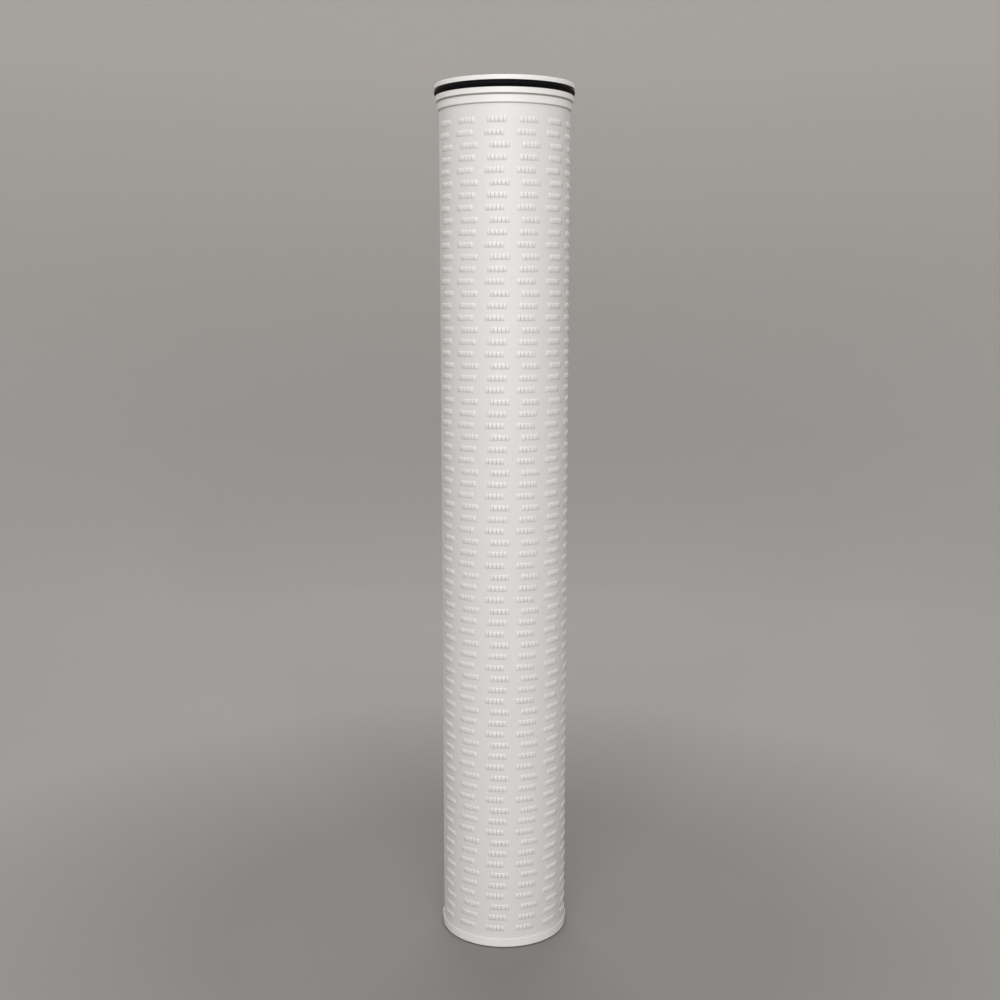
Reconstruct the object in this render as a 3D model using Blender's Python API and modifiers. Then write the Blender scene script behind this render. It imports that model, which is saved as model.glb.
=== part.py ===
"""High flow filter cartridge, six inch class, forty inches long.

A coreless pleated cartridge with one open end. It stands on its closed end cap,
with the sealing end up. Liquid enters through the open end, passes outwards through
the pleats and leaves through the slotted clusters of the outer sleeve.

Units are metres, +Z is up, and the origin is the centre of the closed end's foot.
"""

import math

import bmesh
import bpy

# Overall sizes
TOTAL_LENGTH = 1.016
SLEEVE_RADIUS = 0.0750
FIT_GAP = 0.0003
FACETS = 48
MERGE_DISTANCE = 0.00001

# Outer sleeve: a sheet with staggered rows of raised, slotted clusters. The sheet's
# edges meet in one plain column, the seam.
SLEEVE_WALL = 0.0012
CLUSTER_COLUMNS = 13
SEAM_COLUMN = 10
CLUSTER_SPAN = 0.0226
CLUSTER_HEIGHT = 0.0066
CLUSTER_RISE = 0.0012
CLUSTER_END_SLOPE = 0.0016
ROW_PITCH = 0.0135
ROW_STAGGER = (0.0, -0.0030, 0.0030)
FIRST_ROW_MARGIN = 0.0177
LAST_ROW_MARGIN = 0.0080
PATTERN_PHASE = math.radians(-6.5)

# Pleat pack: filter media folded between two support layers
PLEATS = 32
PACK_BORE_RADIUS = 0.0400
LAYER_THICKNESS = 0.0005
PLEAT_CHANNEL = 0.0010

# Closed end cap
CLOSED_CAP_FLOOR = 0.0045
CLOSED_CAP_LIP = 0.0010
CLOSED_CAP_HEIGHT = 0.0115
CLOSED_CAP_FOOT_ROUND = 0.0020
CLOSED_CAP_LIP_BREAK = 0.0003
CLOSED_CAP_FOOT_WIDTH = 0.0150
CLOSED_CAP_RECESS = 0.0015

# Collars of both caps that centre the pleat pack
COLLAR_WALL = 0.0025
COLLAR_DEPTH = 0.0100

# Open end cap
OPEN_CAP_PLATE = 0.0040
OPEN_CAP_SKIRT_WALL = 0.0023
OPEN_CAP_SKIRT_DEPTH = 0.0043

# Seal ring
SEAL_PROUD = 0.0004
SEAL_SECTION = 0.0070
SEAL_SIDES = 8

# Sealing adapter welded on the open end cap
TOP_FLANGE_OVERHANG = 0.0006
TOP_FLANGE_THICKNESS = 0.0051
LOWER_FLANGE_OVERHANG = 0.0021
LOWER_FLANGE_THICKNESS = 0.0062
GROOVE_SIDE_GAP = 0.0003
WELD_LINE_HEIGHT = 0.0017
WELD_FOOT_INSET = 0.0043
ADAPTER_WALL = 0.0040
ADAPTER_TOP_WEB = 0.0045
MOUTH_STEP = 0.0048
MOUTH_CHAMFER = 0.0015
EDGE_BREAK = 0.0006

# Handle moulded across the mouth
HANDLE_WIDTH = 0.0200
HANDLE_THICKNESS = 0.0090
HANDLE_DROP = 0.0020
HANDLE_ROUND = 0.0025

# Heights worked out from the sizes above, from the foot to the top flange
GROOVE_WIDTH = SEAL_SECTION + 2 * GROOVE_SIDE_GAP
GROOVE_TOP = TOTAL_LENGTH - TOP_FLANGE_THICKNESS
GROOVE_BOTTOM = GROOVE_TOP - GROOVE_WIDTH
LOWER_FLANGE_BOTTOM = GROOVE_BOTTOM - LOWER_FLANGE_THICKNESS
OPEN_CAP_TOP = LOWER_FLANGE_BOTTOM - WELD_LINE_HEIGHT
OPEN_CAP_UNDERSIDE = OPEN_CAP_TOP - OPEN_CAP_PLATE
OPEN_CAP_BOTTOM = OPEN_CAP_UNDERSIDE - OPEN_CAP_SKIRT_DEPTH
CORE_BOTTOM = CLOSED_CAP_FLOOR + FIT_GAP
CORE_TOP = OPEN_CAP_UNDERSIDE - FIT_GAP

# Radii worked out from the sizes above
FACET_FLAT = math.cos(math.pi / FACETS)
CLUSTER_HALF_ANGLE = 0.5 * CLUSTER_SPAN / SLEEVE_RADIUS
SLEEVE_INNER_RADIUS = SLEEVE_RADIUS - SLEEVE_WALL
CAP_SOCKET_RADIUS = (SLEEVE_RADIUS + FIT_GAP) / FACET_FLAT
CLOSED_CAP_RADIUS = CAP_SOCKET_RADIUS + CLOSED_CAP_LIP
OPEN_CAP_RADIUS = CAP_SOCKET_RADIUS + OPEN_CAP_SKIRT_WALL
COLLAR_RADIUS = PACK_BORE_RADIUS - FIT_GAP
COLLAR_BORE_RADIUS = COLLAR_RADIUS - COLLAR_WALL
MOUTH_RADIUS = COLLAR_BORE_RADIUS + MOUTH_STEP
LOWER_FLANGE_RADIUS = OPEN_CAP_RADIUS + LOWER_FLANGE_OVERHANG
TOP_FLANGE_RADIUS = LOWER_FLANGE_RADIUS + TOP_FLANGE_OVERHANG
SEAL_OUTER_RADIUS = TOP_FLANGE_RADIUS + SEAL_PROUD
GROOVE_RADIUS = SEAL_OUTER_RADIUS - SEAL_SECTION - FIT_GAP

WHITE_MOULDING = ("white_moulding", (0.86, 0.86, 0.84), 0.38)
WHITE_SHEET = ("white_sheet", (0.84, 0.84, 0.82), 0.42)
WHITE_FLEECE = ("white_fleece", (0.88, 0.88, 0.86), 0.85)
CREAM_MEDIA = ("cream_media", (0.83, 0.82, 0.77), 0.9)
BLACK_RUBBER = ("black_rubber", (0.02, 0.02, 0.022), 0.35)


def clear_scene():
    for old in list(bpy.data.objects):
        bpy.data.objects.remove(old)


def make_collection(name):
    collection = bpy.data.collections.new(name)
    bpy.context.scene.collection.children.link(collection)
    return collection


def make_material(name, color, roughness):
    material = bpy.data.materials.new(name)
    material.use_nodes = True
    shader = material.node_tree.nodes["Principled BSDF"]
    shader.inputs["Base Color"].default_value = (*color, 1.0)
    shader.inputs["Roughness"].default_value = roughness
    shader.inputs["Metallic"].default_value = 0.0
    return material


def add_object(name, data, collection, finish):
    finish_name, color, roughness = finish
    data.materials.append(make_material(f"{name}_{finish_name}", color, roughness))
    piece = bpy.data.objects.new(name, data)
    collection.objects.link(piece)
    return piece


def smooth_mesh(mesh, sharp_degrees=35):
    mesh.shade_smooth()
    mesh.set_sharp_from_angle(angle=math.radians(sharp_degrees))


def turned_piece(name, profile, closed, collection, finish):
    """Spin a profile of (radius, height) points round Z with a Screw modifier."""
    mesh = bpy.data.meshes.new(name)
    edges = [(index, index + 1) for index in range(len(profile) - 1)]
    if closed:
        edges.append((len(profile) - 1, 0))
    mesh.from_pydata([(radius, 0.0, height) for radius, height in profile], edges, [])
    piece = add_object(name, mesh, collection, finish)
    screw = piece.modifiers.new("Turn", "SCREW")
    screw.axis = "Z"
    screw.angle = math.tau
    screw.steps = FACETS
    screw.render_steps = FACETS
    screw.use_merge_vertices = True
    screw.merge_threshold = MERGE_DISTANCE
    screw.use_smooth_shade = True
    return piece


def quarter_round(centre_radius, size, steps=3):
    """Lower outer corner of a profile, from its side round to the foot at height zero."""
    points = []
    for step in range(steps + 1):
        angle = 0.5 * math.pi * step / steps
        points.append((centre_radius + size * math.cos(angle), size - size * math.sin(angle)))
    return points


def polar(radius, angle, height):
    """A point at an angle from the front, which is -Y, turning towards +X."""
    return (radius * math.sin(angle), -radius * math.cos(angle), height)


def row_heights():
    """Centre heights of the cluster rows, from the top of the sleeve down."""
    first = OPEN_CAP_BOTTOM - FIRST_ROW_MARGIN
    lowest = CLOSED_CAP_HEIGHT + LAST_ROW_MARGIN
    count = int((first - lowest) / ROW_PITCH) + 1
    return [first - row * ROW_PITCH for row in range(count)]


def cluster_edges(row):
    """Left and right edge angles of each cluster in one row."""
    stagger = ROW_STAGGER[row % len(ROW_STAGGER)] / SLEEVE_RADIUS
    centres = [PATTERN_PHASE + stagger + math.tau * column / CLUSTER_COLUMNS
               for column in range(CLUSTER_COLUMNS)]
    return [(centre - CLUSTER_HALF_ANGLE, centre + CLUSTER_HALF_ANGLE) for centre in centres]


def add_ring(bm, radius, edges, height):
    angles = [angle for pair in edges for angle in pair]
    return [bm.verts.new(polar(radius, angle, height)) for angle in angles]


def bridge_rings(bm, upper, lower, quads=None):
    """Join two rings of equal count, all round or only after the listed points."""
    count = len(upper)
    if quads is None:
        quads = range(count)
    for index in quads:
        after = (index + 1) % count
        bm.faces.new((upper[index], lower[index], lower[after], upper[after]))


def add_cluster_row(bm, row, height):
    """One row of raised clusters: returns its upper and lower rings of base points."""
    edges = cluster_edges(row)
    upper = add_ring(bm, SLEEVE_RADIUS, edges, height + CLUSTER_HEIGHT / 2)
    lower = add_ring(bm, SLEEVE_RADIUS, edges, height - CLUSTER_HEIGHT / 2)
    end_slope = CLUSTER_END_SLOPE / SLEEVE_RADIUS
    for column, (left_edge, right_edge) in enumerate(edges):
        left, right = 2 * column, 2 * column + 1
        if column == SEAM_COLUMN:
            bridge_rings(bm, upper, lower, quads=[left])
            continue
        crest_edges = (left_edge + end_slope, right_edge - end_slope)
        crest_left, crest_right = add_ring(bm, SLEEVE_RADIUS + CLUSTER_RISE, [crest_edges], height)
        bm.faces.new((upper[left], crest_left, crest_right, upper[right]))
        bm.faces.new((crest_left, lower[left], lower[right], crest_right))
        bm.faces.new((upper[left], lower[left], crest_left))
        bm.faces.new((upper[right], crest_right, lower[right]))
    bridge_rings(bm, upper, lower, quads=range(1, len(upper), 2))
    return upper, lower


def build_outer_sleeve(collection):
    """Slotted sheet rolled into a tube; each cluster of slots is one raised ridge."""
    bm = bmesh.new()
    heights = row_heights()
    last_row = len(heights) - 1
    outer_top = add_ring(bm, SLEEVE_RADIUS, cluster_edges(0), CORE_TOP)
    above = outer_top
    for row, height in enumerate(heights):
        upper, lower = add_cluster_row(bm, row, height)
        bridge_rings(bm, above, upper)
        above = lower
    outer_bottom = add_ring(bm, SLEEVE_RADIUS, cluster_edges(last_row), CORE_BOTTOM)
    bridge_rings(bm, above, outer_bottom)
    inner_top = add_ring(bm, SLEEVE_INNER_RADIUS, cluster_edges(0), CORE_TOP)
    inner_bottom = add_ring(bm, SLEEVE_INNER_RADIUS, cluster_edges(last_row), CORE_BOTTOM)
    bridge_rings(bm, outer_bottom, inner_bottom)
    bridge_rings(bm, inner_bottom, inner_top)
    bridge_rings(bm, inner_top, outer_top)
    bmesh.ops.recalc_face_normals(bm, faces=bm.faces)
    mesh = bpy.data.meshes.new("outer_sleeve")
    bm.to_mesh(mesh)
    bm.free()
    smooth_mesh(mesh)
    return add_object("outer_sleeve", mesh, collection, WHITE_SHEET)


def fold_outline(half_width, inner_radius, outer_radius):
    """Closed zigzag round the axis: parallel sided folds with flat tips."""
    points = []
    for pleat in range(PLEATS):
        direction = math.tau * pleat / PLEATS
        for radius, side in ((inner_radius, -1), (outer_radius, -1), (outer_radius, 1), (inner_radius, 1)):
            angle = direction + side * math.asin(half_width / radius)
            points.append(polar(radius, angle, 0.0))
    return points


def build_pleat_layers(collection):
    """Three folded sheets, one inside the other, from the bore outwards."""
    layers = (("inner_support_layer", WHITE_FLEECE), ("filter_media", CREAM_MEDIA),
              ("outer_support_layer", WHITE_FLEECE))
    layer_step = LAYER_THICKNESS + FIT_GAP
    sleeve_flat = SLEEVE_INNER_RADIUS * math.cos(CLUSTER_HALF_ANGLE)
    pack_radius = sleeve_flat - FIT_GAP
    bore_radius = PACK_BORE_RADIUS / math.cos(math.pi / PLEATS)
    stack = len(layers) * layer_step - FIT_GAP
    for index, (name, finish) in enumerate(layers):
        offset = index * layer_step
        curve = bpy.data.curves.new(name, "CURVE")
        curve.dimensions = "2D"
        curve.fill_mode = "BOTH"
        curve.extrude = 0.5 * (CORE_TOP - CORE_BOTTOM)
        for face in (offset, offset + LAYER_THICKNESS):
            outline = fold_outline(PLEAT_CHANNEL / 2 + face, bore_radius + face, pack_radius - stack + face)
            spline = curve.splines.new("POLY")
            spline.points.add(len(outline) - 1)
            for point, (x, y, z) in zip(spline.points, outline):
                point.co = (x, y, z, 1.0)
            spline.use_cyclic_u = True
        layer = add_object(name, curve, collection, finish)
        layer.location.z = 0.5 * (CORE_TOP + CORE_BOTTOM)


def build_closed_end_cap(collection):
    """Moulded dish that holds the lower end of the sleeve and pleats."""
    foot_edge = CLOSED_CAP_RADIUS - CLOSED_CAP_FOOT_ROUND
    foot_inner = foot_edge - CLOSED_CAP_FOOT_WIDTH
    collar_top = CLOSED_CAP_FLOOR + COLLAR_DEPTH
    profile = [
        (0.0, CLOSED_CAP_FLOOR),
        (COLLAR_BORE_RADIUS, CLOSED_CAP_FLOOR),
        (COLLAR_BORE_RADIUS, collar_top),
        (COLLAR_RADIUS, collar_top),
        (COLLAR_RADIUS, CLOSED_CAP_FLOOR),
        (CAP_SOCKET_RADIUS, CLOSED_CAP_FLOOR),
        (CAP_SOCKET_RADIUS, CLOSED_CAP_HEIGHT),
        (CLOSED_CAP_RADIUS - CLOSED_CAP_LIP_BREAK, CLOSED_CAP_HEIGHT),
        (CLOSED_CAP_RADIUS, CLOSED_CAP_HEIGHT - CLOSED_CAP_LIP_BREAK),
    ]
    profile += quarter_round(foot_edge, CLOSED_CAP_FOOT_ROUND)
    profile += [
        (foot_inner, 0.0),
        (foot_inner - CLOSED_CAP_RECESS, CLOSED_CAP_RECESS),
        (0.0, CLOSED_CAP_RECESS),
    ]
    return turned_piece("closed_end_cap", profile, False, collection, WHITE_MOULDING)


def build_open_end_cap(collection):
    """Ring plate whose skirt shows as the band over the top of the sleeve."""
    profile = [
        (COLLAR_BORE_RADIUS, OPEN_CAP_TOP),
        (OPEN_CAP_RADIUS - EDGE_BREAK, OPEN_CAP_TOP),
        (OPEN_CAP_RADIUS, OPEN_CAP_TOP - EDGE_BREAK),
        (OPEN_CAP_RADIUS, OPEN_CAP_BOTTOM + EDGE_BREAK),
        (OPEN_CAP_RADIUS - EDGE_BREAK, OPEN_CAP_BOTTOM),
        (CAP_SOCKET_RADIUS, OPEN_CAP_BOTTOM),
        (CAP_SOCKET_RADIUS, OPEN_CAP_UNDERSIDE),
        (COLLAR_RADIUS, OPEN_CAP_UNDERSIDE),
        (COLLAR_RADIUS, OPEN_CAP_UNDERSIDE - COLLAR_DEPTH),
        (COLLAR_BORE_RADIUS, OPEN_CAP_UNDERSIDE - COLLAR_DEPTH),
    ]
    return turned_piece("open_end_cap", profile, True, collection, WHITE_MOULDING)


def adapter_profile():
    """Section of the adapter: two flanges, a seal groove, and a mouth, cored from below."""
    foot_bottom = OPEN_CAP_TOP + FIT_GAP
    foot_radius = LOWER_FLANGE_RADIUS - WELD_FOOT_INSET
    web_underside = TOTAL_LENGTH - ADAPTER_TOP_WEB
    return [
        (MOUTH_RADIUS, TOTAL_LENGTH - MOUTH_CHAMFER),
        (MOUTH_RADIUS + MOUTH_CHAMFER, TOTAL_LENGTH),
        (TOP_FLANGE_RADIUS - EDGE_BREAK, TOTAL_LENGTH),
        (TOP_FLANGE_RADIUS, TOTAL_LENGTH - EDGE_BREAK),
        (TOP_FLANGE_RADIUS, GROOVE_TOP),
        (GROOVE_RADIUS, GROOVE_TOP),
        (GROOVE_RADIUS, GROOVE_BOTTOM),
        (LOWER_FLANGE_RADIUS, GROOVE_BOTTOM),
        (LOWER_FLANGE_RADIUS, LOWER_FLANGE_BOTTOM + EDGE_BREAK),
        (LOWER_FLANGE_RADIUS - EDGE_BREAK, LOWER_FLANGE_BOTTOM),
        (foot_radius, LOWER_FLANGE_BOTTOM),
        (foot_radius, foot_bottom),
        (GROOVE_RADIUS - ADAPTER_WALL, foot_bottom),
        (GROOVE_RADIUS - ADAPTER_WALL, web_underside),
        (MOUTH_RADIUS + ADAPTER_WALL, web_underside),
        (MOUTH_RADIUS + ADAPTER_WALL, foot_bottom),
        (MOUTH_RADIUS, foot_bottom),
    ]


def build_handle_bar(collection):
    """Rounded bar across the mouth, joined to the adapter by a Boolean."""
    mesh = bpy.data.meshes.new("handle_bar")
    bm = bmesh.new()
    bmesh.ops.create_cube(bm, size=1.0)
    length = 2 * MOUTH_RADIUS + ADAPTER_WALL
    bmesh.ops.scale(bm, vec=(length, HANDLE_WIDTH, HANDLE_THICKNESS), verts=bm.verts)
    long_edges = [edge for edge in bm.edges
                  if abs(edge.verts[0].co.x - edge.verts[1].co.x) > length / 2]
    bmesh.ops.bevel(bm, geom=long_edges, offset=HANDLE_ROUND, segments=3, profile=0.5, affect="EDGES")
    bm.to_mesh(mesh)
    bm.free()
    bar = bpy.data.objects.new("handle_bar", mesh)
    collection.objects.link(bar)
    bar.location.z = TOTAL_LENGTH - HANDLE_DROP - HANDLE_THICKNESS / 2
    bar.hide_render = True
    bar.display_type = "WIRE"
    return bar


def build_open_end_adapter(collection, tools):
    """Moulded adapter with its handle, welded on the open end cap."""
    adapter = turned_piece("open_end_adapter", adapter_profile(), True, collection, WHITE_MOULDING)
    union = adapter.modifiers.new("Handle", "BOOLEAN")
    union.operation = "UNION"
    union.solver = "EXACT"
    union.object = build_handle_bar(tools)
    return adapter


def build_seal_ring(collection):
    """Round section seal ring that fills the groove between the flanges."""
    section = SEAL_SECTION / 2
    bpy.ops.mesh.primitive_torus_add(
        major_radius=SEAL_OUTER_RADIUS - section, minor_radius=section,
        major_segments=FACETS, minor_segments=SEAL_SIDES)
    ring = bpy.context.object
    for owner in list(ring.users_collection):
        owner.objects.unlink(ring)
    collection.objects.link(ring)
    ring.name = "seal_ring"
    ring.data.name = "seal_ring"
    finish_name, color, roughness = BLACK_RUBBER
    ring.data.materials.append(make_material(f"seal_ring_{finish_name}", color, roughness))
    ring.data.shade_smooth()
    ring.location.z = (GROOVE_TOP + GROOVE_BOTTOM) / 2
    return ring


def build_cartridge():
    clear_scene()
    parts = make_collection("High flow filter cartridge")
    tools = make_collection("Modelling tools")
    build_closed_end_cap(parts)
    build_pleat_layers(parts)
    build_outer_sleeve(parts)
    build_open_end_cap(parts)
    build_open_end_adapter(parts, tools)
    build_seal_ring(parts)


build_cartridge()
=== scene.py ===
"""Looks of a high flow filter cartridge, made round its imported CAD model.

The cartridge stands on its closed end in a grey studio sweep. Lengths are metres and +Z is up. The
sections follow the cartridge as it is put together: foot cap, pleats, sleeve, top cap, adapter, seal.
"""

import math

import bpy
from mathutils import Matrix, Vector


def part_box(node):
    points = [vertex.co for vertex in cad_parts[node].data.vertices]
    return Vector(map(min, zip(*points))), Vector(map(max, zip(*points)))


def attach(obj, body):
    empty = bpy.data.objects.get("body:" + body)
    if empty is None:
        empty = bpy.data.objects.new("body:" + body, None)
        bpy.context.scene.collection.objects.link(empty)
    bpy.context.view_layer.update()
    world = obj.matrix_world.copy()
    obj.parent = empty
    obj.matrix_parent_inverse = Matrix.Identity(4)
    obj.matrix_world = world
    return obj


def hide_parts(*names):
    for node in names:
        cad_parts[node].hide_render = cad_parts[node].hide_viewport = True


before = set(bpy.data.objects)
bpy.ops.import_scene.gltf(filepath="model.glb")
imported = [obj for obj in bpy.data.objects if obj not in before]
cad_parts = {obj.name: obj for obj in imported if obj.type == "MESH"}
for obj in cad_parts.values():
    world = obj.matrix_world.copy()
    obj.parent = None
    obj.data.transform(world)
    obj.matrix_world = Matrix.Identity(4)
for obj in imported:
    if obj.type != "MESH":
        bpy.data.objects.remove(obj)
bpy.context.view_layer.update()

MM = 0.001
scene = bpy.context.scene
scene.view_settings.view_transform = "Standard"


# Closed end cap: an injection moulded polypropylene dish. The sleeve and the pleats stand in it, fused
# to its floor, round a collar that centres them. Only its low lip and the step of its foot show.

def rounded_outline(corners, steps=4):
    """Outline through (x, y, round) corners, with each round drawn as an arc."""
    outline = []
    for index, (x, y, radius) in enumerate(corners):
        corner = Vector((x, y))
        if not radius:
            outline.append(corner)
            continue
        before = (Vector(corners[index - 1][:2]) - corner).normalized()
        after = (Vector(corners[(index + 1) % len(corners)][:2]) - corner).normalized()
        half_angle = before.angle(after) / 2
        centre = corner + (before + after).normalized() * radius / math.sin(half_angle)
        start = (corner + before * radius / math.tan(half_angle) - centre).normalized()
        end = (corner + after * radius / math.tan(half_angle) - centre).normalized()
        sweep = start.angle(end)
        for step in range(steps + 1):
            turned_by = sweep * step / steps
            arm = start * math.sin(sweep - turned_by) + end * math.sin(turned_by)
            outline.append(centre + arm * radius / math.sin(sweep))
    return outline


def new_piece(name, mesh, material):
    mesh.materials.append(material)
    piece = bpy.data.objects.new(name, mesh)
    scene.collection.objects.link(piece)
    return piece


# Points or heights that are closer than this count as one.
HAIR = 0.01 * MM


def turned(name, corners, material, facets=192):
    """A section of (radius, height, round) corners, turned round the cartridge's axis."""
    outline = rounded_outline(corners)
    edges = [(index, index + 1) for index in range(len(outline) - 1)]
    if corners[0][0] > 0:
        edges.append((len(outline) - 1, 0))
    mesh = bpy.data.meshes.new(name)
    mesh.from_pydata([(radius, 0, height) for radius, height in outline], edges, [])
    piece = new_piece(name, mesh, material)
    screw = piece.modifiers.new("Turn", "SCREW")
    screw.steps = facets
    screw.render_steps = facets
    screw.use_merge_vertices = True
    screw.merge_threshold = HAIR
    flat_faces = piece.modifiers.new("Keep flat faces flat", "WEIGHTED_NORMAL")
    flat_faces.keep_sharp = True
    return piece


def place(tree, kind, inputs, **settings):
    """Adds a shader node. An input is given as a value, or as the socket that feeds it."""
    added = tree.nodes.new("ShaderNode" + kind)
    for setting, value in settings.items():
        setattr(added, setting, value)
    for key, value in inputs.items():
        if isinstance(value, bpy.types.NodeSocket):
            tree.links.new(value, added.inputs[key])
        else:
            added.inputs[key].default_value = value
    return added


def new_effect(name, inputs, outputs):
    """A shader node group with named sockets: a tuple is a colour, a number is a value."""
    group = bpy.data.node_groups.new(name, "ShaderNodeTree")
    for socket_name, value in inputs.items():
        kind = "NodeSocketColor" if isinstance(value, tuple) else "NodeSocketFloat"
        socket = group.interface.new_socket(socket_name, in_out="INPUT", socket_type=kind)
        socket.default_value = value
    for socket_name, kind in outputs.items():
        group.interface.new_socket(socket_name, in_out="OUTPUT", socket_type="NodeSocket" + kind)
    return group, group.nodes.new("NodeGroupInput").outputs, group.nodes.new("NodeGroupOutput").inputs


def sized_noise(tree, where, size, detail=2.0):
    """Noise whose blotches are about one size across, in metres."""
    scale = place(tree, "Math", {0: 1.0, 1: size}, operation="DIVIDE").outputs[0]
    noise = place(tree, "TexNoise", {"Vector": where, "Scale": scale, "Detail": detail})
    return noise.outputs["Fac"]


def spread(tree, value, low, high, top=1.0):
    """A value's range from low to high, spread over 0 to top and held there at both ends."""
    spread_out = place(tree, "MapRange", {"Value": value, "From Min": low, "From Max": high, "To Max": top})
    return spread_out.outputs[0]


def blend(tree, share, first, second):
    """The first colour where the share is 0, the second where it is 1."""
    # The sockets go by number, because a Mix node has several of each name.
    blended = place(tree, "Mix", {0: share, 6: first, 7: second}, data_type="RGBA")
    return blended.outputs[2]


# Skin of every moulded or rolled plastic piece and of the rubber: slow clouds in its tone, a paler tone
# on its outer edges that is partly burnish and partly a painted highlight, rubbed patches that are a
# little duller, and a fine grain.
skin, given, made = new_effect(
    "moulded skin",
    {"Tone": (0.8, 0.8, 0.8, 1), "Cloud Tone": (0.7, 0.7, 0.7, 1), "Edge Burnish And Highlight Tone": (0.9, 0.9, 0.9, 1),
     "Cloud Size": 0.05, "Rub Size": 0.01, "Grain Size": 0.0005,
     "Roughness": 0.4, "Rub Roughness": 0.1, "Edge Share": 0.5},
    {"Colour": "Color", "Roughness": "Float", "Height": "Float"})
where = place(skin, "TexCoord", {}).outputs["Object"]
cloud = spread(skin, sized_noise(skin, where, given["Cloud Size"], detail=4.0), low=0.35, high=0.7)
toned = blend(skin, cloud, given["Tone"], given["Cloud Tone"])
# Partly burnish and partly painted highlight: convex edges, found by their pointiness, are blended towards a
# paler tone.
pointiness = place(skin, "NewGeometry", {}).outputs["Pointiness"]
edge_burnish_and_highlight = spread(skin, pointiness, low=0.505, high=0.56, top=given["Edge Share"])
burnished_and_highlighted = blend(skin, edge_burnish_and_highlight, toned, given["Edge Burnish And Highlight Tone"])
RUB_STRETCH = (1.0, 1.0, 0.35)
rubbed_where = place(skin, "Mapping", {"Vector": where, "Scale": RUB_STRETCH}).outputs[0]
patches = sized_noise(skin, rubbed_where, given["Rub Size"], detail=5.0)
rubbed = spread(skin, patches, low=0.48, high=0.72, top=given["Rub Roughness"])
dulled = place(skin, "Math", {0: given["Roughness"], 1: rubbed}, operation="ADD")
skin.links.new(burnished_and_highlighted, made["Colour"])
skin.links.new(dulled.outputs[0], made["Roughness"])
skin.links.new(sized_noise(skin, where, given["Grain Size"]), made["Height"])


def new_material(name):
    material = bpy.data.materials.new(name)
    material.use_nodes = True
    tree = material.node_tree
    return material, tree, tree.nodes["Principled BSDF"]


def skinned(tree, values):
    group = place(tree, "Group", {}, node_tree=skin)
    for socket_name, value in values.items():
        group.inputs[socket_name].default_value = value
    return group.outputs


def raise_grain(tree, shader, height, depth):
    """Turns a height that varies over the surface into a grain of that depth, in metres."""
    bump = place(tree, "Bump", {"Height": height, "Strength": 1.0, "Distance": depth})
    tree.links.new(bump.outputs[0], shader.inputs["Normal"])


white_moulding, tree, shader = new_material("satin_white_moulding")
coat = skinned(tree, {
    "Tone": (0.84, 0.828, 0.809, 1), "Cloud Tone": (0.82, 0.808, 0.79, 1), "Edge Burnish And Highlight Tone": (0.88, 0.87, 0.85, 1),
    "Cloud Size": 0.045, "Rub Size": 0.012, "Grain Size": 0.0006,
    "Roughness": 0.36, "Rub Roughness": 0.10, "Edge Share": 0.2})
tree.links.new(coat["Colour"], shader.inputs["Base Color"])
tree.links.new(coat["Roughness"], shader.inputs["Roughness"])
raise_grain(tree, shader, coat["Height"], depth=0.02 * MM)

foot_low, foot_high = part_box("closed_end_cap")
FOOT_FLOOR = 4.5 * MM
FOOT_RECESS = 1.5 * MM
FOOT_RING_WIDTH = 13 * MM
FOOT_STEP = 1.5 * MM
FOOT_STEP_SET_BACK = 4.0 * MM
FOOT_STEP_ROUND = 0.3 * MM
FOOT_LIP_HEIGHT = 11.5 * MM
LIP_WIDTH = 1.0 * MM
LIP_ROUND = 0.35 * MM
COLLAR_BORE = 37.2 * MM
COLLAR_OUTSIDE = 39.7 * MM
INNER_ROUND = 0.5 * MM
foot_radius = foot_high.x
foot_ring_outside = foot_radius - FOOT_STEP_SET_BACK
foot_ring_inside = foot_ring_outside - FOOT_RING_WIDTH
foot_cap = turned("foot_cap_moulding", [
    (0, FOOT_FLOOR, 0),
    (COLLAR_BORE, FOOT_FLOOR, INNER_ROUND),
    (COLLAR_BORE, foot_high.z, INNER_ROUND),
    (COLLAR_OUTSIDE, foot_high.z, INNER_ROUND),
    (COLLAR_OUTSIDE, FOOT_FLOOR, INNER_ROUND),
    (foot_radius - LIP_WIDTH, FOOT_FLOOR, LIP_ROUND),
    (foot_radius - LIP_WIDTH, FOOT_LIP_HEIGHT, LIP_ROUND),
    (foot_radius, FOOT_LIP_HEIGHT, LIP_ROUND),
    (foot_radius, foot_low.z + FOOT_STEP, FOOT_STEP_ROUND),
    (foot_ring_outside, foot_low.z + FOOT_STEP, FOOT_STEP_ROUND),
    (foot_ring_outside, foot_low.z, FOOT_STEP_ROUND),
    (foot_ring_inside, foot_low.z, INNER_ROUND),
    (foot_ring_inside - FOOT_RECESS, foot_low.z + FOOT_RECESS, INNER_ROUND),
    (0, foot_low.z + FOOT_RECESS, 0),
], white_moulding)
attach(foot_cap, "root")
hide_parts("closed_end_cap")


# Pleat pack: meltblown polypropylene filter media between two spunbonded fleeces, folded together as
# one stack and set on end in the caps. Its inner folds line the bore.

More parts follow.
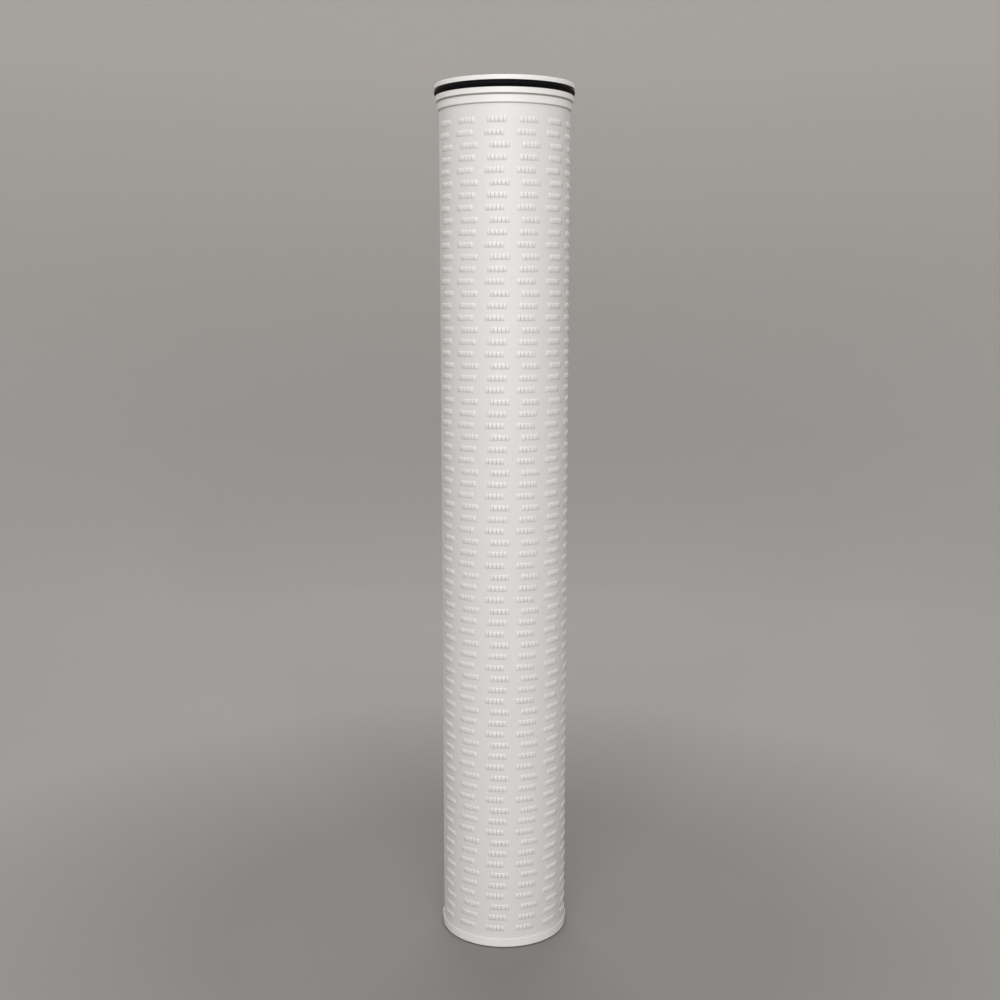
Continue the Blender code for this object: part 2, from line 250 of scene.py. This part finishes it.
fibres, given, made = new_effect(
    "laid fibres",
    {"Tone": (0.85, 0.85, 0.85, 1), "Gap Tone": (0.6, 0.6, 0.6, 1), "Fibre Size": 0.0002, "Cloud Size": 0.01},
    {"Colour": "Color", "Height": "Float"})
where = place(fibres, "TexCoord", {}).outputs["Object"]
FIBRE_STRETCH = (1.0, 1.0, 0.07)
FIBRE_LEANS = (0.6, -0.7)
crossing = []
for lean in FIBRE_LEANS:
    leaned = place(fibres, "Mapping", {"Vector": where, "Rotation": (lean, lean, 0.0)})
    drawn_out = place(fibres, "Mapping", {"Vector": leaned.outputs[0], "Scale": FIBRE_STRETCH})
    crossing.append(sized_noise(fibres, drawn_out.outputs[0], given["Fibre Size"]))
web = place(fibres, "Math", {0: crossing[0], 1: crossing[1]}, operation="MAXIMUM")
density = sized_noise(fibres, where, given["Cloud Size"])
cover = place(fibres, "Math", {0: web.outputs[0], 1: density}, operation="ADD")
covered = spread(fibres, cover.outputs[0], low=0.85, high=1.2)
laid = blend(fibres, covered, given["Gap Tone"], given["Tone"])
fibres.links.new(laid, made["Colour"])
fibres.links.new(web.outputs[0], made["Height"])


def fibre_material(name, tone, gap_tone, fibre_size, depth, roughness):
    material, tree, shader = new_material(name)
    sheet = place(tree, "Group", {}, node_tree=fibres)
    sheet.inputs["Tone"].default_value = tone
    sheet.inputs["Gap Tone"].default_value = gap_tone
    sheet.inputs["Fibre Size"].default_value = fibre_size
    tree.links.new(sheet.outputs["Colour"], shader.inputs["Base Color"])
    shader.inputs["Roughness"].default_value = roughness
    shader.inputs["Sheen Weight"].default_value = 0.2
    raise_grain(tree, shader, sheet.outputs["Height"], depth)
    return material


white_fleece = fibre_material(
    "spunbonded_fleece", tone=(0.84, 0.84, 0.82, 1), gap_tone=(0.62, 0.62, 0.60, 1),
    fibre_size=0.25 * MM, depth=0.08 * MM, roughness=0.8)
cream_media = fibre_material(
    "meltblown_media", tone=(0.80, 0.78, 0.71, 1), gap_tone=(0.66, 0.64, 0.58, 1),
    fibre_size=0.10 * MM, depth=0.03 * MM, roughness=0.9)

PLEATS = 32
PACK_BORE = 40.0 * MM
PACK_OUTSIDE = 72.6 * MM
LAYER = 0.5 * MM
LAYER_GAP = 0.3 * MM
PLEAT_CHANNEL = 1.0 * MM
BORE_FOLD_ROUND = 2.6 * MM
TIP_ROUND_SHARE = 0.9
PLEAT_SHARP_ANGLE = math.radians(40)
layers = (
    ("inner_fleece", "inner_support_layer", white_fleece, "white_fleece"),
    ("pleated_media", "filter_media", cream_media, "cream_media"),
    ("outer_fleece", "outer_support_layer", white_fleece, "white_fleece"))
stack_depth = len(layers) * (LAYER + LAYER_GAP) - LAYER_GAP


def fold_line(depth):
    """The pleated line, this deep into the stack from the side of the bore."""
    half_channel = PLEAT_CHANNEL / 2 + depth
    corners = []
    for pleat in range(PLEATS):
        direction = math.tau * pleat / PLEATS
        bore_corner = (PACK_BORE + depth, max(BORE_FOLD_ROUND - depth, LAYER / 2))
        tip_corner = (PACK_OUTSIDE - stack_depth + depth, TIP_ROUND_SHARE * half_channel)
        for (radius, fold_round), side in (
                (bore_corner, -1), (tip_corner, -1), (tip_corner, 1), (bore_corner, 1)):
            angle = direction + side * math.asin(half_channel / radius)
            corners.append((radius * math.sin(angle), -radius * math.cos(angle), fold_round))
    return rounded_outline(corners, steps=3)


def ring_faces(rings):
    """Faces between rings of points that follow each other, with the last one joined to the first."""
    around = len(rings[0])
    faces = []
    for ring in range(len(rings)):
        following = (ring + 1) % len(rings)
        for point in range(around):
            after = (point + 1) % around
            faces.append((ring * around + point, following * around + point,
                          following * around + after, ring * around + after))
    return faces


def smooth_mesh(name, points, faces, sharp_angle):
    mesh = bpy.data.meshes.new(name)
    mesh.from_pydata(points, [], faces)
    mesh.shade_smooth()
    mesh.set_sharp_from_angle(angle=sharp_angle)
    return mesh


for count, (name, node, material, slot) in enumerate(layers):
    pack_low, pack_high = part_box(node)
    near = fold_line(count * (LAYER + LAYER_GAP))
    far = fold_line(count * (LAYER + LAYER_GAP) + LAYER)
    rings = [[(x, y, height) for x, y in line] for line, height in (
        (near, pack_low.z), (near, pack_high.z), (far, pack_high.z), (far, pack_low.z))]
    mesh = smooth_mesh(name, sum(rings, []), ring_faces(rings), PLEAT_SHARP_ANGLE)
    layer = new_piece(name, mesh, material)
    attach(layer, "root")
    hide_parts(node)


# Outer sleeve: polypropylene sheet, embossed with staggered rows of raised ribs with slots between
# them, and rolled into a tube. Its edges lap over each other in a plain welded strip at the left.

SLEEVE_RADIUS = 75.0 * MM
SHEET = 1.2 * MM
COLUMNS = 13
ROW_PITCH = 13.5 * MM
FIRST_ROW_BELOW_BAND = 17.7 * MM
LAST_ROW_ABOVE_LIP = 8.0 * MM
ROW_STAGGER = (0.0, -3.0 * MM, 3.0 * MM)
PATTERN_TURN = math.radians(-6.5)
RIBS = 5
RIB_PITCH = 4.53 * MM
RIB_RISE = 0.9 * MM
SLOT_WIDTH = 0.75 * MM
SLOT_DEPTH = 0.3 * MM
CLUSTER_WIDTH = 22.6 * MM
CLUSTER_HEIGHT = 7.0 * MM
CLUSTER_END_SLOPE = 0.9 * MM
GAP_LINE = 2.2 * MM
SEAM_COLUMN = 10
SEAM_FROM = -15.0 * MM
SEAM_TO = 18.5 * MM
SEAM_RISE = 0.2 * MM
SEAM_RAMP = 4.0 * MM
SEAM_EDGE = 0.2 * MM
SEAM_LINES = 6
EMBOSS_SHARP_ANGLE = math.radians(44)

sleeve_low, sleeve_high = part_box("outer_sleeve")
band_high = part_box("open_end_cap")[1]
BAND_HEIGHT = 8.3 * MM
band_bottom = band_high.z - BAND_HEIGHT

# Across a cluster: how far round each line of points lies, and its rise. A slot sinks instead.
across = [(-CLUSTER_WIDTH / 2, 0.0), (-CLUSTER_WIDTH / 2 + CLUSTER_END_SLOPE, RIB_RISE)]
for slot_number in range(RIBS - 1):
    middle = (slot_number - (RIBS - 2) / 2) * RIB_PITCH
    across += [(middle - SLOT_WIDTH / 2, RIB_RISE),
               (middle, -SLOT_DEPTH),
               (middle + SLOT_WIDTH / 2, RIB_RISE)]
across += [(CLUSTER_WIDTH / 2 - CLUSTER_END_SLOPE, RIB_RISE), (CLUSTER_WIDTH / 2, 0.0)]
# Down a cluster: height from its middle, and the share of the rise that the ribs have there.
RIB_SECTION = ((1.0, 0.0), (0.82, 0.5), (0.5, 1.0), (-0.5, 1.0), (-0.82, 0.5), (-1.0, 0.0))

column_arc = math.tau * SLEEVE_RADIUS / COLUMNS
# Across the seam: the outer edge of the sheet ramps up over the inner one and ends in a step.
seam = [(-column_arc / 2, 0.0), (SEAM_FROM, 0.0)]
lap_from = SEAM_FROM + SEAM_RAMP
lap_to = SEAM_TO - SEAM_EDGE
for line in range(SEAM_LINES):
    seam.append((lap_from + (lap_to - lap_from) * line / (SEAM_LINES - 1), SEAM_RISE))
seam.append((SEAM_TO, 0.0))


def sleeve_ring(height, stagger, share):
    """One ring of points: the share is how much of the ribs' rise it has."""
    lines = []
    for column in range(COLUMNS):
        centre = column * column_arc
        if column == SEAM_COLUMN:
            lines += [(centre + offset, rise) for offset, rise in seam]
            continue
        lines += [(centre + stagger + offset, rise * share) for offset, rise in across]
        if column + 1 != SEAM_COLUMN:
            lines += [(centre + column_arc / 2 + side * GAP_LINE, 0.0) for side in (-1, 1)]
    points = []
    for arc, rise in lines:
        angle = PATTERN_TURN + arc / SLEEVE_RADIUS
        radius = SLEEVE_RADIUS + rise
        points.append((radius * math.sin(angle), -radius * math.cos(angle), height))
    return points


first_row = band_bottom - FIRST_ROW_BELOW_BAND
row_count = int((first_row - FOOT_LIP_HEIGHT - LAST_ROW_ABOVE_LIP) / ROW_PITCH) + 1
rings = [sleeve_ring(sleeve_high.z, ROW_STAGGER[0], 0.0)]
for row in range(row_count):
    row_stagger = ROW_STAGGER[row % len(ROW_STAGGER)]
    for height_share, rise_share in RIB_SECTION:
        height = first_row - row * ROW_PITCH + height_share * CLUSTER_HEIGHT / 2
        rings.append(sleeve_ring(height, row_stagger, rise_share))
rings.append(sleeve_ring(sleeve_low.z, row_stagger, 0.0))
inside = (SLEEVE_RADIUS - SHEET) / SLEEVE_RADIUS
rings.append([(x * inside, y * inside, sleeve_low.z) for x, y, height in rings[-1]])
rings.append([(x * inside, y * inside, sleeve_high.z) for x, y, height in rings[0]])
points = sum(rings, [])
faces = ring_faces(rings)
mesh = smooth_mesh("embossed_sleeve", points, faces, EMBOSS_SHARP_ANGLE)
# The plain sheet is shaded as a true cylinder, so that no rib's slope shows in it. The slots and the
# cut ends of the ribs are marked, for the material to paint shade into them, and so are the ribs'
# crests, for the material to paint a highlight on them.
SLOT_SHADE = 0.15
END_SHADE = 0.15
LOWEST_END = RIB_RISE / 4
reach = [math.hypot(x, y) for x, y, height in points]
normals = []
shades = []
crest_highlights = []
for face in faces:
    rises = [reach[point] - SLEEVE_RADIUS for point in face]
    plain = any(max(rises) - level < HAIR > level - min(rises) for level in (0.0, SEAM_RISE))
    for point in face:
        outward = (points[point][0] / reach[point], points[point][1] / reach[point], 0.0)
        normals.append(outward if plain else (0.0, 0.0, 0.0))
    left, right = max(rises[:2]), max(rises[2:])
    # Faces in the slots and on the ribs' cut ends are marked for painted shade.
    if min(rises) < -HAIR < max(rises):
        shades.append(SLOT_SHADE)
    elif min(left, right) < HAIR and max(left, right) > LOWEST_END:
        shades.append(END_SHADE)
    else:
        shades.append(0.0)
    # The ribs' faces are marked for a painted highlight, by how far they rise.
    crest_highlights.append(max(0.0, sum(rises) / len(rises) / RIB_RISE))
mesh.attributes.new("slot_shade", "FLOAT", "FACE").data.foreach_set("value", shades)
mesh.attributes.new("rib_painted_highlight", "FLOAT", "FACE").data.foreach_set("value", crest_highlights)
mesh.normals_split_custom_set(normals)

# The sheet is a little greyer than the mouldings, with faint lines along its length from the rolls.
# It has a painted highlight on the ribs, and painted shade in the slots and on the ribs' cut ends.
white_sheet, tree, shader = new_material("embossed_white_sheet")
coat = skinned(tree, {
    "Tone": (0.76, 0.747, 0.73, 1), "Cloud Tone": (0.735, 0.722, 0.705, 1),
    "Edge Burnish And Highlight Tone": (0.80, 0.79, 0.77, 1), "Cloud Size": 0.09, "Rub Size": 0.02, "Grain Size": 0.0009,
    "Roughness": 0.44, "Rub Roughness": 0.08, "Edge Share": 0.35})
where = place(tree, "TexCoord", {}).outputs["Object"]
ROLL_LINES = 2.5 * MM
ROLL_LINE_STRETCH = (1.0, 1.0, 0.01)
ROLL_LINE_SHARE = 0.5
ROLL_LINE_TONE = (0.73, 0.717, 0.70, 1)
CREST_HIGHLIGHT_TONE = (0.775, 0.764, 0.748, 1)
SLOT_PAINTED_SHADE_TONE = (0.35, 0.343, 0.335, 1)
drawn_out = place(tree, "Mapping", {"Vector": where, "Scale": ROLL_LINE_STRETCH}).outputs[0]
roll_lines = spread(tree, sized_noise(tree, drawn_out, ROLL_LINES), low=0.3, high=0.7, top=ROLL_LINE_SHARE)
rolled = blend(tree, roll_lines, coat["Colour"], ROLL_LINE_TONE)
# Painted highlight: the ribs are blended towards a paler tone by how far they rise.
crest_highlight = place(tree, "Attribute", {}, attribute_name="rib_painted_highlight").outputs["Fac"]
highlighted = blend(tree, crest_highlight, rolled, CREST_HIGHLIGHT_TONE)
# Painted shade: the marked faces in the slots and on the cut ends are blended towards a dark tone.
shade = place(tree, "Attribute", {}, attribute_name="slot_shade").outputs["Fac"]
painted_shade_colour = blend(tree, shade, highlighted, SLOT_PAINTED_SHADE_TONE)
tree.links.new(painted_shade_colour, shader.inputs["Base Color"])
tree.links.new(coat["Roughness"], shader.inputs["Roughness"])
raise_grain(tree, shader, coat["Height"], depth=0.03 * MM)

sleeve = new_piece("embossed_sleeve", mesh, white_sheet)
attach(sleeve, "root")
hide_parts("outer_sleeve")


# Open end cap: a moulded ring plate welded on the other end of the pleats and sleeve. Its skirt is the
# band that shows over the top of the sleeve.

BAND_PLATE = 4.0 * MM
BAND_WALL = 1.6 * MM
BAND_SET_BACK = 0.7 * MM
TOP_COLLAR_DEPTH = 10.0 * MM
BAND_ROUND = 1.2 * MM
BAND_TOP_ROUND = 0.35 * MM
band_radius = band_high.x - BAND_SET_BACK
plate_underside = band_high.z - BAND_PLATE
top_cap = turned("top_cap_moulding", [
    (COLLAR_BORE, band_high.z, INNER_ROUND),
    (band_radius, band_high.z, BAND_TOP_ROUND),
    (band_radius, band_bottom, BAND_ROUND),
    (band_radius - BAND_WALL, band_bottom, LIP_ROUND),
    (band_radius - BAND_WALL, plate_underside, LIP_ROUND),
    (COLLAR_OUTSIDE, plate_underside, INNER_ROUND),
    (COLLAR_OUTSIDE, plate_underside - TOP_COLLAR_DEPTH, INNER_ROUND),
    (COLLAR_BORE, plate_underside - TOP_COLLAR_DEPTH, INNER_ROUND),
], white_moulding)
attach(top_cap, "root")
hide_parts("open_end_cap")


# Sealing adapter: a heavy moulding welded on the open end cap. It has two flanges with the seal's
# groove between them, and a handle moulded across its mouth.

adapter_low, adapter_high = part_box("open_end_adapter")
TOP_FLANGE = 5.1 * MM
GROOVE_WIDTH = 7.6 * MM
GROOVE_DEPTH = 6.9 * MM
LOWER_FLANGE = 6.2 * MM
LOWER_FLANGE_SET_BACK = 1.3 * MM
WELD_FOOT_SET_BACK = 4.3 * MM
ADAPTER_WALL = 4.0 * MM
TOP_WEB = 4.5 * MM
MOUTH_RADIUS = 42.0 * MM
MOUTH_ROUND = 1.6 * MM
FLANGE_ROUND = 0.7 * MM
UNDERCUT_ROUND = 0.5 * MM
GROOVE_ROUND = 0.25 * MM
top_radius = adapter_high.x
groove_top = adapter_high.z - TOP_FLANGE
groove_bottom = groove_top - GROOVE_WIDTH
groove_floor = top_radius - GROOVE_DEPTH
lower_radius = top_radius - LOWER_FLANGE_SET_BACK
lower_flange_bottom = groove_bottom - LOWER_FLANGE
weld_foot = lower_radius - WELD_FOOT_SET_BACK
web_underside = adapter_high.z - TOP_WEB
adapter = turned("adapter_moulding", [
    (MOUTH_RADIUS, adapter_high.z, MOUTH_ROUND),
    (top_radius, adapter_high.z, FLANGE_ROUND),
    (top_radius, groove_top, GROOVE_ROUND),
    (groove_floor, groove_top, GROOVE_ROUND),
    (groove_floor, groove_bottom, GROOVE_ROUND),
    (lower_radius, groove_bottom, GROOVE_ROUND),
    (lower_radius, lower_flange_bottom, UNDERCUT_ROUND),
    (weld_foot, lower_flange_bottom, INNER_ROUND),
    (weld_foot, adapter_low.z, GROOVE_ROUND),
    (groove_floor - ADAPTER_WALL, adapter_low.z, GROOVE_ROUND),
    (groove_floor - ADAPTER_WALL, web_underside, INNER_ROUND),
    (MOUTH_RADIUS + ADAPTER_WALL, web_underside, INNER_ROUND),
    (MOUTH_RADIUS + ADAPTER_WALL, adapter_low.z, GROOVE_ROUND),
    (MOUTH_RADIUS, adapter_low.z, GROOVE_ROUND),
], white_moulding)
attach(adapter, "root")
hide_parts("open_end_adapter")

HANDLE_WIDTH = 20.0 * MM
HANDLE_THICKNESS = 9.0 * MM
HANDLE_DROP = 2.0 * MM
HANDLE_ROUND = 2.5 * MM
HANDLE_FLARE = 5.0 * MM
HANDLE_THICKNESS_FLARE = 1.0 * MM
FLARE_STEPS = 6
HANDLE_SHARP_ANGLE = math.radians(50)
handle_middle = adapter_high.z - HANDLE_DROP - HANDLE_THICKNESS / 2
handle_end = MOUTH_RADIUS + ADAPTER_WALL / 2
# Stations along the bar: across the mouth it is straight, and it flares into the wall at both ends.
stations = [(handle_end, 1.0)]
for step in range(FLARE_STEPS + 1):
    inwards = math.sin(math.pi / 2 * step / FLARE_STEPS)
    stations.append((MOUTH_RADIUS - HANDLE_FLARE * inwards, 1 - math.sin(math.acos(1 - inwards))))
stations += [(-x, flare) for x, flare in reversed(stations)]
rings = []
for x, flare in stations:
    half_width = HANDLE_WIDTH / 2 + HANDLE_FLARE * flare
    half_thickness = HANDLE_THICKNESS / 2 + HANDLE_THICKNESS_FLARE * flare
    outline = rounded_outline([
        (half_width, half_thickness, HANDLE_ROUND), (-half_width, half_thickness, HANDLE_ROUND),
        (-half_width, -half_thickness, HANDLE_ROUND), (half_width, -half_thickness, HANDLE_ROUND)], steps=6)
    rings.append([(x, y, handle_middle + z) for y, z in outline])
points = sum(rings, [])
around = len(rings[0])
first_end = tuple(range(around))
last_end = tuple(reversed(range(len(points) - around, len(points))))
faces = [first_end, last_end]
for ring in range(len(rings) - 1):
    for point in range(around):
        after = (point + 1) % around
        faces.append((ring * around + after, ring * around + point,
                      (ring + 1) * around + point, (ring + 1) * around + after))
mesh = smooth_mesh("adapter_handle", points, faces, HANDLE_SHARP_ANGLE)
handle = new_piece("adapter_handle", mesh, white_moulding)
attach(handle, "root")


# Seal ring: black moulded rubber of 7 mm round section, sprung into the groove, a hair prouder than
# the flanges. A fine parting line from its mould runs round its outside and its inside.

black_rubber, tree, shader = new_material("black_moulded_rubber")
coat = skinned(tree, {
    "Tone": (0.003, 0.003, 0.004, 1), "Cloud Tone": (0.004, 0.004, 0.005, 1),
    "Edge Burnish And Highlight Tone": (0.008, 0.008, 0.009, 1), "Cloud Size": 0.02, "Rub Size": 0.006, "Grain Size": 0.0003,
    "Roughness": 0.52, "Rub Roughness": 0.16, "Edge Share": 0.5})
tree.links.new(coat["Colour"], shader.inputs["Base Color"])
tree.links.new(coat["Roughness"], shader.inputs["Roughness"])
shader.inputs["Specular IOR Level"].default_value = 0.06
raise_grain(tree, shader, coat["Height"], depth=0.02 * MM)

seal_low, seal_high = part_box("seal_ring")
SEAL_POINTS = 28
PARTING_LINE = 0.06 * MM
section_radius = (seal_high.z - seal_low.z) / 2
seal_middle = (seal_high.z + seal_low.z) / 2
seal_section = []
for point in range(SEAL_POINTS):
    turn = -math.tau * point / SEAL_POINTS
    reach = section_radius + (PARTING_LINE if point in (0, SEAL_POINTS // 2) else 0.0)
    seal_section.append((seal_high.x - PARTING_LINE - section_radius + reach * math.cos(turn),
                         seal_middle + section_radius * math.sin(turn), 0))
seal = turned("seal_ring_moulding", seal_section, black_rubber)
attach(seal, "root")
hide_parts("seal_ring")


# Studio sweep: a round paper floor that curves up into the backdrop on every side, so that each view
# has the same plain ground. The light panels stand outside it and shine through its thin paper, and a
# board under the floor keeps light from coming up.

SWEEP_RADIUS = 2.8
SWEEP_CURVE = 1.3
SWEEP_HEIGHT = 2.4
FLOOR_DROP = 0.1 * MM
PAPER_CLOUD = 0.7
# Painted light and shade in the paper's tone: it is darker on the floor near the cartridge, paler further
# out, and paler still up the wall. Only its slow clouds are the paper's own.
NEAR_TONE = (0.248, 0.244, 0.238, 1)
NEAR_CLOUD_TONE = (0.236, 0.232, 0.226, 1)
FAR_FROM = 0.35
FAR_TO = 0.9
FAR_PAINTED_LIGHT_TONE = (0.35, 0.342, 0.328, 1)
WALL_FROM = 0.2
WALL_TO = 1.5
WALL_PAINTED_LIGHT_TONE = (0.514, 0.49, 0.473, 1)
paper, tree, shader = new_material("grey_paper")
where = place(tree, "TexCoord", {}).outputs["Object"]
paper_cloud = spread(tree, sized_noise(tree, where, PAPER_CLOUD), low=0.3, high=0.7)
distance = place(tree, "VectorMath", {0: where}, operation="LENGTH").outputs["Value"]
height = place(tree, "SeparateXYZ", {0: where}).outputs["Z"]
# Painted light: masks that make the floor paler further out and the wall paler upwards.
painted_light_outwards = spread(tree, distance, low=FAR_FROM, high=FAR_TO)
painted_light_up_wall = spread(tree, height, low=WALL_FROM, high=WALL_TO)
near_tone = blend(tree, paper_cloud, NEAR_TONE, NEAR_CLOUD_TONE)
floor_painted_light_tone = blend(tree, painted_light_outwards, near_tone, FAR_PAINTED_LIGHT_TONE)
paper_painted_light_tone = blend(tree, painted_light_up_wall, floor_painted_light_tone, WALL_PAINTED_LIGHT_TONE)
tree.links.new(paper_painted_light_tone, shader.inputs["Base Color"])
shader.inputs["Roughness"].default_value = 0.9
shader.inputs["Specular IOR Level"].default_value = 0.2
sweep = turned("studio_sweep", [
    (0, -FLOOR_DROP, 0),
    (SWEEP_RADIUS, -FLOOR_DROP, SWEEP_CURVE),
    (SWEEP_RADIUS, SWEEP_HEIGHT, 0),
], paper)
sweep.visible_shadow = False
BOARD_DROP = 3.0 * MM
floor_board = turned("studio_floor_board", [(0, -BOARD_DROP, 0), (SWEEP_RADIUS, -BOARD_DROP, 0)], paper)


# Studio light: a wide ceiling panel a little in front, a broad soft front panel, a weaker one behind,
# and plain air light.

def softbox(name, location, aim, width, height, power):
    lamp = bpy.data.lights.new(name, "AREA")
    lamp.shape = "RECTANGLE"
    lamp.size = width
    lamp.size_y = height
    lamp.energy = power
    holder = bpy.data.objects.new(name, lamp)
    holder.location = location
    holder.rotation_euler = (Vector(aim) - Vector(location)).to_track_quat("-Z", "Y").to_euler()
    holder.visible_camera = False
    scene.collection.objects.link(holder)


softbox("ceiling_panel", location=(-0.2, -0.7, 2.6), aim=(0.0, 0.0, 0.5), width=1.6, height=1.2, power=6)
softbox("front_panel", location=(-0.05, -4.4, 2.6), aim=(0.0, 0.0, 1.1), width=4.4, height=2.2, power=170)
softbox("back_panel", location=(0.0, 4.4, 2.6), aim=(0.0, 0.0, 1.1), width=4.4, height=2.2, power=112)
AIR_STRENGTH = 0.54
air = bpy.data.worlds.new("studio_air")
air.use_nodes = True
air.node_tree.nodes["Background"].inputs["Color"].default_value = (1.0, 1.0, 1.0, 1)
air.node_tree.nodes["Background"].inputs["Strength"].default_value = AIR_STRENGTH
scene.world = air


# Camera: at the photograph's height and distance, level across and tipped a little down. Its place and
# lens were fitted to the outline of the cylinder and to the ellipses of its two ends.

CAMERA_PLACE = (-0.0051, -1.552, 0.777)
CAMERA_TIP = math.radians(8.84)
CAMERA_SENSOR = 36.0
CAMERA_LENS = 47.03
lens = bpy.data.cameras.new("camera")
lens.sensor_width = CAMERA_SENSOR
lens.lens = CAMERA_LENS
camera = bpy.data.objects.new("camera", lens)
camera.location = CAMERA_PLACE
camera.rotation_euler = (math.pi / 2 - CAMERA_TIP, 0.0, 0.0)
scene.collection.objects.link(camera)
scene.camera = camera
